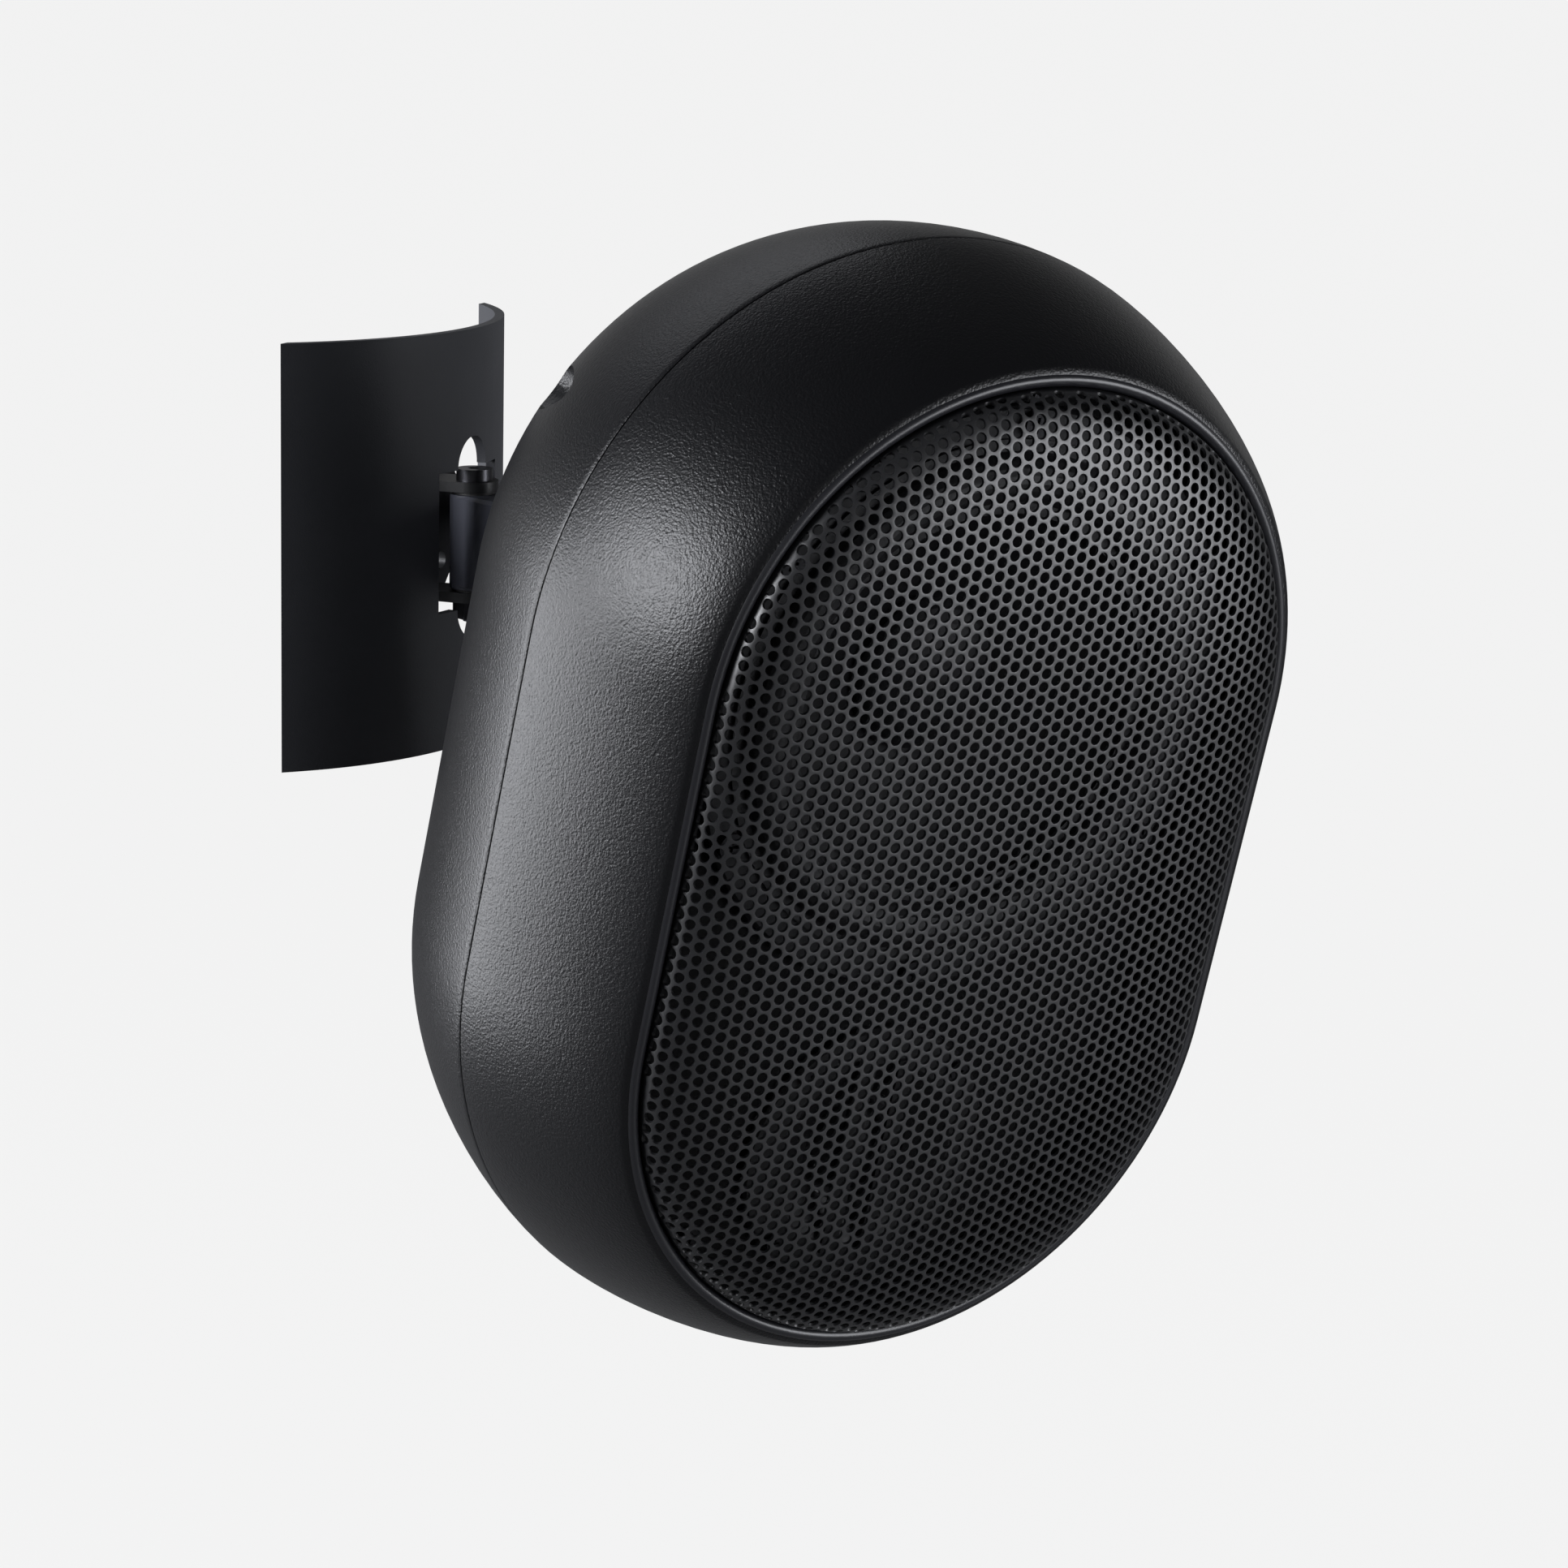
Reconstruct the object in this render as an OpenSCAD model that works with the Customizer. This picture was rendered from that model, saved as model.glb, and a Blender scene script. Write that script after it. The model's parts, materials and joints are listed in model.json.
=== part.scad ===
// Weatherproof wall speaker: a capsule-shaped two-way cabinet with a domed
// grille, held by a ball clamp on a short arm that pans in a curved wall bracket.
// The origin is the centre of the wall bracket on the wall plane.
// The wall is the XZ plane, the room lies towards -Y and +Z is up.
// The cabinet has its own frame: x across, y back from the grille rim, z along it.

/* [Cabinet] */
// Width of the cabinet at its seam
cabinet_w = 209; // [196:1:230]
// Distance between the centres of the two round ends
end_spacing = 88; // [70:1:120]
// Radius of the grille rim at the round ends
rim_r = 86; // [84:0.5:90]
// Depth from the grille rim back to the seam
front_h = 54; // [50:1:66]
// Depth from the seam to the flat back
rear_h = 69; // [64:1:90]
// Radius of the flat back at the round ends
rear_r = 71; // [66:1:78]
// Fullness of the front shell's curve, 1 is a straight flare
front_curve = 1.4; // [1.2:0.05:2]
// Fullness of the rear shell's curve, 2 is an ellipse
rear_curve = 1.85; // [1.5:0.05:2.4]
// Wall thickness of both shells
shell_wall = 4; // [3:0.5:5]
// Thickness of the seal between the shells
seal_h = 1; // [0.8:0.1:2]
// Depth of the groove that shows between the shells
groove_depth = 1.4; // [0.8:0.1:2]

/* [Grille] */
// Width of the smooth lip around the grille
lip_w = 3; // [2:0.5:4]
// Height of the grille's dome in front of the rim
dome_h = 13; // [6:1:20]
// Fullness of the dome, 2 is an ellipse
dome_curve = 2.6; // [2:0.1:4]
// Thickness of the grille sheet
grille_t = 1.2; // [0.8:0.1:2]
// Gap between the lip and the grille
grille_gap = 1; // [0.5:0.1:2]
// Distance between neighbouring columns of holes
grille_pitch = 13; // [11:0.5:20]
// Diameter of a hole
grille_hole = 9; // [5:0.5:9]

/* [Drivers] */
// Depth of the baffle's face behind the rim
baffle_y = 18; // [14:1:24]
// Thickness of the baffle
baffle_t = 6; // [4:0.5:9]
// Height of the woofer's centre above the cabinet's centre
woofer_z = 41; // [38:1:44]
// Radius of the woofer's flange
woofer_r = 77; // [74:0.5:78]
// Radius of the surround's outer edge
surround_r = 66; // [60:0.5:68]
// Radius of the cone's edge
cone_r = 53; // [46:0.5:56]
// Radius of the dust cap
cap_r = 21; // [16:0.5:26]
// Radius of the voice coil
coil_r = 16; // [12:0.5:18]
// Depth of the cone
cone_h = 26; // [20:1:32]
// Radius of the woofer's magnet
magnet_r = 45; // [36:1:50]
// Thickness of the woofer's magnet
magnet_h = 16; // [12:1:20]
// Height of the tweeter's centre above the cabinet's centre
tweeter_z = -84; // [-86:1:-82]
// Radius of the tweeter's face plate
tweeter_r = 36; // [30:0.5:38]
// Radius of the tweeter's dome
tweeter_dome_r = 13; // [10:0.5:15]
// Width of a guard slot in front of the tweeter
guard_slot = 7; // [5:0.5:9]

/* [Bracket] */
// Width of the curved cover at the wall
cover_w = 129; // [110:1:140]
// Height of the curved cover
cover_h = 120; // [100:1:140]
// How far the cover bulges from the wall
cover_d = 27.7; // [26:0.1:34]
// Height of the cover's middle above the pan bolt's middle
cover_rise = 1; // [0:0.5:2]
// Thickness of the cover's sheet
cover_t = 2.8; // [2:0.2:4]
// Width of the window in the cover
window_w = 36.6; // [34:0.2:44]
// Height of the window in the cover
window_h = 40.4; // [40:0.2:46]
// Width of the arched notches above and below the window
notch_w = 18; // [18:1:22]
// Height of the arched notches
notch_h = 9; // [8:0.5:9]
// Width of the flat plate on the wall
base_w = 84; // [76:1:96]
// Height of the flat plate on the wall
base_h = 60; // [56:1:80]
// Thickness of the bracket's steel
base_t = 3; // [2:0.5:4]
// Distance between the wall screws across
hole_dx = 60; // [50:1:70]
// Distance between the wall screws in height
hole_dz = 24; // [20:1:36]
// Diameter of the wall screw holes
hole_d = 5.5; // [4:0.5:7]

/* [Arm] */
// Distance of the pan bolt from the wall
pan_y = 28; // [27:0.5:31]
// Height of the arm
arm_h = 27.2; // [20:0.2:27.4]
// Thickness of the arm
arm_w = 14; // [12:0.5:15]
// Distance from the pan bolt to the centre of the ball
arm_len = 92.4; // [80:0.2:110]
// Diameter of the pan bolt
bolt_d = 6; // [5:0.5:8]
// Radius of the ball
ball_r = 13; // [11:0.5:15]
// Radius of the ball's stud
stud_r = 5; // [4:0.5:6]
// Distance from the flat back to the centre of the ball
ball_out = 24; // [22:1:32]
// Height of the ball above the cabinet's centre
ball_z = 24.25; // [0:0.25:32]
// Wall of the socket around the ball
socket_wall = 2.6; // [2:0.2:4]
// Wall of the clamp ring around the socket
ring_wall = 3; // [2:0.2:5]

/* [Pose] */
// Turn of the arm from the wall's normal
arm_pan = -25.2; // [-26:0.2:26]
// Turn of the cabinet from the wall's normal
cabinet_pan = -36.2; // [-40:0.2:-12]
// Downward tilt of the cabinet
cabinet_tilt = 11.2; // [0:0.2:20]
// Sideways lean of the cabinet in its ball clamp
cabinet_lean = 5; // [0:1:8]

/* [Hidden] */
$fn = 64;

eps = 0.01;
fit = 0.08;
seat = 0.3;
curve_steps = 14;

half_straight = end_spacing / 2;
seam_r = cabinet_w / 2;
back_y = front_h + rear_h;
opening_r = rim_r - lip_w;
grille_r = opening_r - grille_gap;
baffle_r = opening_r - seat;
baffle_back = baffle_y + baffle_t;
ledge_w = 10;
ledge_h = 4;
ledge_y = baffle_back + 1;
seal_front = front_h - seal_h / 2;
seal_back = front_h + seal_h / 2;
seal_w = 2.4;
lip_edge = 0.8;

ball_y = back_y + ball_out;
pan_at = [0, -pan_y, 0];
arm_dir = [sin(arm_pan), -cos(arm_pan), 0];
ball_at = pan_at + arm_len * arm_dir;

// Profiles of the two shells, as radius and depth
front_points = [for (i = [0:curve_steps])
    let (y = front_h * pow(i / curve_steps, 1.6))
        [front_outer(y), y]];
rear_angles = [for (i = [0:curve_steps]) 90 * i / curve_steps];

// Screw wells in the rear shell
well_r = 6.8;
well_at = seam_r - 14;
well_turn = 30.5;
well_floor = seal_back + 19.5;
well_wall = 2;
shell_screw_r = 2;
well_places = [for (sx = [-1, 1], sz = [-1, 1])
    [sx * well_at * cos(well_turn), sz * (half_straight + well_at * sin(well_turn))]];

// Terminal recess in the rear shell
terminal_z = -70;
terminal_r = 26;
terminal_depth = 12;
terminal_y = back_y - terminal_depth;
terminal_plate_t = 3;
terminal_rim = 6;

// Baffle screws and the ledge that they go into
baffle_screw_r = 1.5;
baffle_screw_bite = 5;
baffle_screw_at = opening_r - 5.5;
baffle_screw_places = [for (p = [[0, -1], [180, -1], [-52, -1], [-128, -1], [90, 1]])
    [baffle_screw_at * cos(p[0]), p[1] * half_straight + baffle_screw_at * sin(p[0])]];

// Woofer, from its flange to the back plate
flange_t = 4;
flange_y = baffle_y - flange_t;
basket_r = surround_r + 5;
basket_bend_y = baffle_y + 10;
spider_r = magnet_r - 3;
spider_in = coil_r + 0.7;
spider_waves = 12;
basket_windows = 6;
basket_window_w = 32;
roll_r = (surround_r - cone_r) / 2;
cone_gap = 0.7;
cone_t = 0.9;
cap_h = 8;
plate_t = 6;
woofer_screws_n = 6;
woofer_screw_r = 2;
woofer_screw_at = woofer_r - 4.2;
woofer_screw_start = 30;
cone_top_y = flange_y + 0.2;
cap_y = cone_y(cap_r) - seat;
spider_y = cone_top_y + cone_h + 10;
basket_floor_y = spider_y + 9;
top_plate_y = basket_floor_y + 3;
magnet_back_y = top_plate_y + plate_t + magnet_h;
coil_end_y = top_plate_y + plate_t + 3;

// Depth of the cone's front face at a radius, with a slight flare
function cone_y(r) = cone_top_y + cone_h * pow((cone_r - r) / (cone_r - coil_r), 0.9);
function roll_point(a, r) = [cone_r + roll_r + r * cos(180 - a), flange_y - 0.5 - r * sin(a)];
function spider_point(i, lift) = [
    i == spider_waves ? spider_r - seat : spider_in + (spider_r - 3 - spider_in) * i / (spider_waves - 1),
    spider_y + lift + (i % 2 == 1 && i < spider_waves - 1 ? 1.4 : 0)
];

// Tweeter, from its face plate to the back plate
tweeter_face_y = baffle_y - 3;
tweeter_horn_r = tweeter_r - 10;
tweeter_body_r = tweeter_r - 7;
tweeter_dome_h = 6;
tweeter_plate_y = baffle_y + 4.7;
tweeter_plate_t = 4;
tweeter_back_y = tweeter_plate_y + tweeter_plate_t + 9;
tweeter_screws_n = 4;
tweeter_screw_r = 1.5;
tweeter_screw_at = tweeter_r - 3.4;
tweeter_screw_start = 45;
guard_bar = 5;

// Shell screws
shell_screw_end = ledge_y + ledge_h + 6;
shell_boss_r = 5;

// Grille: how far the holes stay from its edge, and where its skirt ends
grille_margin = 11;
grille_foot = baffle_y - seat;
grille_columns = ceil(grille_r / grille_pitch / sin(60));
grille_rows = ceil((grille_r + half_straight) / grille_pitch);

function grille_profile(r, h, foot) = concat([[0, foot]], [[r, foot], [r, 0]],
    [for (i = [1:8]) let (a = 90 * i / 8, rr = r * pow(cos(a), 2 / dome_curve))
        [i == 8 ? 0 : rr, -h * pow(sin(a), 2 / dome_curve)]]);
function capsule_distance(x, z) = norm([x, max(0, abs(z) - half_straight)]);

// Crossover board on its posts
board_w = 76;
board_l = 40;
board_z = -17;
board_t = 1.6;
board_y = back_y - shell_wall - 12;
board_screw_r = 1.25;
board_post_r = 4;
board_places = [for (sx = [-1, 1], sz = [-1, 1])
    [sx * (board_w / 2 - 4), board_z + sz * (board_l / 2 - 4)]];

// Terminals
post_dx = 19;
post_r = 5.5;
post_shank_r = 2;
terminal_screw_at = terminal_r - 3;
terminal_screw_r = 1.1;

// Ball stud, socket and clamp ring
stud_shank_r = 4;
stud_shank = 16;
stud_flange_r = 14;
stud_angle = asin(stud_r / ball_r);
ring_grip = 10;
ring_step = 1.6;
socket_r = ball_r + socket_wall + ring_step;
ring_r = socket_r - ring_step + ring_wall;
ring_angle = 56;
ring_lip = ball_r * cos(ring_angle) + 0.6;
ring_mouth_r = ball_r * sin(ring_angle);
ring_grooves = 20;
neck_end = arm_len - socket_r - 0.8;
neck_edge = 1;
neck_section = chamfered_rectangle(arm_w, arm_h, neck_edge);
pinch_at = neck_end - 20;
pinch_r = 2;
pinch_depth = 12;
pinch_head_r = 3.6;
pinch_head_h = 2.4;

// Wall bracket
cover_r = (pow(cover_w / 2, 2) + pow(cover_d, 2)) / (2 * cover_d);
cover_axis_y = cover_r - cover_d;
notch_arc = (pow(notch_w / 2, 2) + pow(notch_h, 2)) / (2 * notch_h);
base_corner = 20;
base_outline = chamfered_rectangle(base_w, base_h, base_corner);
tongue_h = 9;
washer_t = 0.8;
washer_gap = 0.1;
ear_z = arm_h / 2 + washer_gap + washer_t;
ear_r = arm_w / 2;
nut_h = 5;

// The outline of a rectangle with its corners cut off
function chamfered_rectangle(w, h, c) = [
    [w / 2 - c, h / 2], [-w / 2 + c, h / 2], [-w / 2, h / 2 - c], [-w / 2, -h / 2 + c],
    [-w / 2 + c, -h / 2], [w / 2 - c, -h / 2], [w / 2, -h / 2 + c], [w / 2, h / 2 - c]
];

// Outer radius of the front shell at a depth behind the rim
function front_outer(y) =
    rim_r + (seam_r - rim_r) * pow(1 - pow(max(0, 1 - y / front_h), front_curve), 1 / front_curve);

// Radius of the rear shell at a depth behind the seam, for a given height and end radius
function rear_outer(y, h, end_r, mouth_r) =
    end_r + (mouth_r - end_r) * pow(max(0, 1 - pow(y / h, rear_curve)), 1 / rear_curve);

// The rear profile from the seam to the flat back, set in by a wall
function rear_points(wall) = [
    for (a = rear_angles)
        let (y = (rear_h - wall) * pow(sin(a), 2 / rear_curve))
            [rear_outer(y, rear_h - wall, rear_r - wall, seam_r - wall), front_h + y]
];

// Places the cabinet's own frame in the wall's frame, with the ball in its socket
module cabinet() {
    translate(ball_at)
        rotate([0, 0, cabinet_pan])
            rotate([cabinet_tilt, 0, 0])
                rotate([0, cabinet_lean, 0])
                    translate([0, -ball_y, -ball_z])
                        children();
}

// Places the arm's own frame, with its axis along -Y from the pan bolt
module along_arm() {
    translate(pan_at)
        rotate([0, 0, arm_pan])
            children();
}

// A capsule solid from a profile of radius and depth that starts and ends on the axis
module capsule(points) {
    for (side = [0, 1])
        mirror([0, 0, side])
            translate([0, 0, -half_straight])
                rotate([-90, 0, 0])
                    rotate_extrude(angle = 180)
                        polygon(points);
    translate([0, 0, -half_straight])
        linear_extrude(end_spacing)
            for (side = [0, 1])
                mirror([side, 0])
                    polygon(points);
}

// A straight-sided capsule between two depths
module capsule_plate(r, y0, y1) {
    capsule([[0, y0], [r, y0], [r, y1], [0, y1]]);
}

// A cylinder along the depth of the cabinet
module post(r, y0, y1, x = 0, z = 0) {
    translate([x, y0, z])
        rotate([-90, 0, 0])
            cylinder(r = r, h = y1 - y0);
}

// A turned piece along the depth of the cabinet, from a profile of radius and depth
module turned(points, z = 0, x = 0) {
    translate([x, 0, z])
        rotate([-90, 0, 0])
            rotate_extrude()
                polygon(points);
}

// Repeats a piece on a circle in the plane of the baffle
module around(count, r, z, start = 0) {
    for (i = [0:count - 1])
        let (a = start + i * 360 / count)
            translate([r * cos(a), 0, z + r * sin(a)])
                children();
}

// A screw along the depth, with its head in front at depth y
module screw(r, y, length, head_r, head_h) {
    difference() {
        post(head_r, y - head_h, y);
        cross_recess(head_r, y - head_h, head_h * 0.6);
    }
    post(r, y - eps, y + length);
}

// The cross recess in a screw's head
module cross_recess(head_r, y, depth) {
    for (a = [0, 90])
        translate([0, y, 0])
            rotate([0, a, 0])
                translate([-head_r * 0.6, -eps, -head_r * 0.12])
                    cube([head_r * 1.2, depth + eps, head_r * 0.24]);
}

module front_shell() {
    color("#2b2c2f")
        difference() {
            union() {
                difference() {
                    capsule(concat(
                        [[0, lip_edge], [opening_r, lip_edge], [opening_r + lip_edge, 0], [rim_r - lip_edge, 0]],
                        [for (p = front_points) if (p[1] > lip_edge / 2 && p[1] < seal_front) p],
                        [[seam_r - 0.4, seal_front], [0, seal_front]]));
                    capsule_plate(opening_r, -1, ledge_y);
                    capsule_plate(opening_r - ledge_w, 0, ledge_y + ledge_h);
                    capsule(concat([[0, ledge_y + ledge_h]],
                        [for (i = [0:6])
                            let (y = ledge_y + ledge_h + (front_h - ledge_y - ledge_h) * i / 6)
                                [front_outer(y) - shell_wall, y]],
                        [[0, front_h]]));
                }
                for (p = well_places)
                    post(shell_boss_r, ledge_y + ledge_h - 1, seal_front, p[0], p[1]);
            }
            for (p = baffle_screw_places)
                post(baffle_screw_r + fit, ledge_y - 1, ledge_y + ledge_h + 1, p[0], p[1]);
            for (p = well_places)
                post(shell_screw_r + fit, shell_screw_end - 1, front_h, p[0], p[1]);
        }
}

module rear_shell() {
    color("#2a2b2e")
        difference() {
            union() {
                difference() {
                    capsule(concat([[0, seal_back], [seam_r - 0.4, seal_back]],
                        [for (p = rear_points(0)) if (p[1] > seal_back) p],
                        [[0, back_y]]));
                    capsule(concat([[0, front_h - 1], [seam_r - shell_wall, front_h - 1]],
                        rear_points(shell_wall), [[0, back_y - shell_wall]]));
                }
                intersection() {
                    union() {
                        for (p = well_places)
                            post(well_r + well_wall, front_h, back_y, p[0], p[1]);
                        post(terminal_r + terminal_rim / 2, terminal_y - terminal_plate_t, back_y,
                            0, terminal_z);
                    }
                    capsule(concat([[0, seal_front + seat], [seam_r - shell_wall, seal_front + seat]],
                        rear_points(0.5), [[0, back_y - 0.5]]));
                }
                for (p = board_places)
                    post(board_post_r, board_y, back_y - 1, p[0], p[1]);
            }
            for (p = well_places) {
                post(well_r, well_floor, back_y + 1, p[0], p[1]);
                post(shell_screw_r + fit, front_h - 1, well_floor + 1, p[0], p[1]);
            }
            for (p = board_places)
                post(board_screw_r + fit, board_y - 1, board_y + 8, p[0], p[1]);
            post(terminal_r, terminal_y, back_y + 1, 0, terminal_z);
            post(terminal_r - terminal_rim, 0, back_y + 1, 0, terminal_z);
            around(4, terminal_screw_at, terminal_z, 45)
                post(terminal_screw_r + fit, 0, back_y);
            post(stud_shank_r + fit, 0, back_y + 1, 0, ball_z);
        }
}

module shell_seal() {
    color("#101011")
        difference() {
            capsule_plate(seam_r - groove_depth, seal_front, seal_back);
            capsule_plate(seam_r - groove_depth - seal_w, seal_front - 1, seal_back + 1);
        }
}

module shell_screws() {
    color("#3a3a3c")
        for (p = well_places)
            translate([p[0], well_floor, p[1]])
                mirror([0, 1, 0])
                    screw(shell_screw_r, 0, well_floor - shell_screw_end, 3.8, 2.6);
}

module grille() {
    color("#26272a")
        difference() {
            capsule(grille_profile(grille_r, dome_h, grille_foot));
            capsule(grille_profile(grille_r - grille_t, dome_h - grille_t, grille_foot + 1));
            for (i = [-grille_columns:grille_columns], j = [-grille_rows:grille_rows])
                let (x = i * grille_pitch * sin(60), z = (j + (abs(i) % 2) / 2) * grille_pitch)
                    if (capsule_distance(x, z) < grille_r - grille_margin)
                        post(grille_hole / 2, -dome_h - 1, baffle_y / 2, x, z);
        }
}

module baffle() {
    color("#1d1d1f")
        difference() {
            capsule_plate(baffle_r, baffle_y, baffle_back);
            post(basket_r + seat, baffle_y - 1, baffle_back + 1, 0, woofer_z);
            post(tweeter_body_r + seat, baffle_y - 1, baffle_back + 1, 0, tweeter_z);
            for (p = baffle_screw_places)
                post(baffle_screw_r + fit, baffle_y - 1, baffle_back + 1, p[0], p[1]);
            around(woofer_screws_n, woofer_screw_at, woofer_z, woofer_screw_start)
                post(woofer_screw_r + fit, baffle_y - 1, baffle_back + 1);
            around(tweeter_screws_n, tweeter_screw_at, tweeter_z, tweeter_screw_start)
                post(tweeter_screw_r + fit, baffle_y - 1, baffle_back + 1);
        }
}

module baffle_screws() {
    color("#3a3a3c")
        for (p = baffle_screw_places)
            translate([p[0], 0, p[1]])
                screw(baffle_screw_r, baffle_y, baffle_t + baffle_screw_bite, 2.8, 2);
}

module baffle_gasket() {
    color("#141415")
        difference() {
            capsule_plate(baffle_r, baffle_back, ledge_y);
            capsule_plate(opening_r - ledge_w + 1, baffle_back - 1, ledge_y + 1);
            for (p = baffle_screw_places)
                post(baffle_screw_r + fit, baffle_back - 1, ledge_y + 1, p[0], p[1]);
        }
}

// The woofer's pieces are turned round its axis
module woofer_basket() {
    color("#3c3e42")
        difference() {
            turned([
                [surround_r - 1, flange_y], [woofer_r - 0.8, flange_y], [woofer_r, flange_y + 0.8],
                [woofer_r, baffle_y], [basket_r, baffle_y], [basket_r - 2, basket_bend_y],
                [spider_r + 3, spider_y], [spider_r + 3, basket_floor_y + 3], [coil_r + 4, basket_floor_y + 3],
                [coil_r + 4, basket_floor_y], [spider_r, basket_floor_y], [spider_r, spider_y + 1],
                [spider_r - 2, spider_y + 1], [spider_r - 2, spider_y], [spider_r, spider_y],
                [basket_r - 5, basket_bend_y], [basket_r - 5, flange_y + 3], [surround_r - 1, flange_y + 3]
            ], woofer_z);
            for (i = [0:basket_windows - 1])
                translate([0, 0, woofer_z])
                    rotate([0, i * 360 / basket_windows, 0])
                        translate([spider_r + 2, basket_bend_y + 2, -basket_window_w / 2])
                            cube([basket_r, spider_y - basket_bend_y - 9, basket_window_w]);
            around(woofer_screws_n, woofer_screw_at, woofer_z, woofer_screw_start)
                post(woofer_screw_r + fit, flange_y - 1, baffle_y + 1);
        }
}

module woofer_surround() {
    color("#17181a")
        turned(concat(
            [[surround_r + 3, flange_y], [surround_r + 3, flange_y - 1], [surround_r, flange_y - 1]],
            [for (i = [9:-1:1]) roll_point(18 * i, roll_r)],
            [[cone_r, flange_y - 1], [cone_r - 3, flange_y - 1], [cone_r - 3, flange_y], [cone_r + 1, flange_y]],
            [for (i = [1:9]) roll_point(18 * i, roll_r - 1)],
            [[surround_r - 1, flange_y]]
        ), woofer_z);
}

module woofer_cone() {
    color("#2e3033")
        turned(concat(
            [for (i = [0:8]) let (r = coil_r + cone_gap + (cone_r - coil_r - cone_gap) * i / 8) [r, cone_y(r)]],
            [for (i = [8:-1:0]) let (r = coil_r + cone_gap + (cone_r - coil_r - cone_gap) * i / 8)
                [r, cone_y(r) + cone_t]]
        ), woofer_z);
}

module dust_cap() {
    color("#232427")
        turned(concat(
            [for (i = [0:6]) let (a = 90 * i / 6) [cap_r * sin(a), cap_y - cap_h * cos(a)]],
            [for (i = [6:-1:0]) let (a = 90 * i / 6) [(cap_r - 0.8) * sin(a), cap_y - (cap_h - 0.8) * cos(a)]]
        ), woofer_z);
}

module woofer_spider() {
    color("#a08a58")
        turned(concat(
            [for (i = [0:spider_waves]) spider_point(i, -seat)],
            [for (i = [spider_waves:-1:0]) spider_point(i, -seat - 0.7)]
        ), woofer_z);
}

module voice_coil() {
    color("#8a4b2a")
        difference() {
            post(coil_r + 0.6, cone_y(coil_r + cone_gap) - 1, coil_end_y, 0, woofer_z);
            post(coil_r, 0, coil_end_y + 1, 0, woofer_z);
        }
}

module woofer_top_plate() {
    color("#8d8f92")
        difference() {
            post(magnet_r - 6, top_plate_y, top_plate_y + plate_t, 0, woofer_z);
            post(coil_r + 1.2, 0, back_y, 0, woofer_z);
        }
}

module woofer_magnet() {
    color("#2f2f31")
        difference() {
            post(magnet_r, top_plate_y + plate_t, magnet_back_y, 0, woofer_z);
            post(coil_r + 6, 0, back_y, 0, woofer_z);
        }
}

module woofer_back_plate() {
    color("#8d8f92") {
        post(magnet_r - 4, magnet_back_y, magnet_back_y + plate_t, 0, woofer_z);
        post(coil_r - 0.6, top_plate_y - 1, magnet_back_y + eps, 0, woofer_z);
    }
}

module woofer_screws() {
    color("#3a3a3c")
        around(woofer_screws_n, woofer_screw_at, woofer_z, woofer_screw_start)
            screw(woofer_screw_r, flange_y, baffle_t + 4, 3.4, 2.2);
}

// The tweeter's face plate has a shallow horn crossed by two guard bars
module tweeter_plate() {
    color("#1b1c1e") {
        difference() {
            turned([
                [tweeter_dome_r + 2.4, baffle_y + 2], [tweeter_horn_r, tweeter_face_y],
                [tweeter_r - 0.8, tweeter_face_y], [tweeter_r, tweeter_face_y + 0.8],
                [tweeter_r, baffle_y], [tweeter_body_r - 1, baffle_y], [tweeter_body_r - 1, baffle_y + 4],
                [tweeter_dome_r + 2.4, baffle_y + 4]
            ], tweeter_z);
            around(tweeter_screws_n, tweeter_screw_at, tweeter_z, tweeter_screw_start)
                post(tweeter_screw_r + fit, tweeter_face_y - 1, baffle_y + 1);
        }
        for (side = [-1, 1])
            translate([side * (guard_slot + guard_bar) / 2 - guard_bar / 2, tweeter_face_y - 1.6,
                tweeter_z - tweeter_horn_r - 1])
                cube([guard_bar, 2, 2 * tweeter_horn_r + 2]);
    }
}

module tweeter_dome() {
    color("#3b3c40")
        turned(concat(
            [for (i = [0:6]) let (a = 90 * i / 6)
                [tweeter_dome_r * sin(a), baffle_y + 4 - tweeter_dome_h * cos(a)]],
            [[tweeter_dome_r + 2, baffle_y + 4], [tweeter_dome_r + 2, baffle_y + 4.6],
                [tweeter_dome_r - 0.6, baffle_y + 4.6]],
            [for (i = [5:-1:0]) let (a = 90 * i / 6)
                [(tweeter_dome_r - 0.6) * sin(a), baffle_y + 4.6 - tweeter_dome_h * cos(a)]]
        ), tweeter_z);
}

module tweeter_top_plate() {
    color("#8d8f92")
        difference() {
            post(tweeter_body_r - 1, tweeter_plate_y, tweeter_plate_y + tweeter_plate_t, 0, tweeter_z);
            post(tweeter_dome_r + 1, 0, back_y, 0, tweeter_z);
        }
}

module tweeter_magnet() {
    color("#2f2f31")
        difference() {
            post(tweeter_body_r - 1, tweeter_plate_y + tweeter_plate_t, tweeter_back_y, 0, tweeter_z);
            post(tweeter_dome_r + 3, 0, back_y, 0, tweeter_z);
        }
}

module tweeter_back_plate() {
    color("#8d8f92") {
        post(tweeter_body_r - 2, tweeter_back_y, tweeter_back_y + tweeter_plate_t, 0, tweeter_z);
        post(tweeter_dome_r - 1, tweeter_plate_y + 1, tweeter_back_y + eps, 0, tweeter_z);
    }
}

module tweeter_screws() {
    color("#3a3a3c")
        around(tweeter_screws_n, tweeter_screw_at, tweeter_z, tweeter_screw_start)
            screw(tweeter_screw_r, tweeter_face_y, baffle_t + 3, 2.4, 1.4);
}

module crossover_board() {
    color("#2f5a3c")
        difference() {
            translate([-board_w / 2, board_y - board_t, board_z - board_l / 2])
                cube([board_w, board_t, board_l]);
            for (p = board_places)
                post(board_screw_r + fit, board_y - 5, board_y + 5, p[0], p[1]);
        }
}

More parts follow.
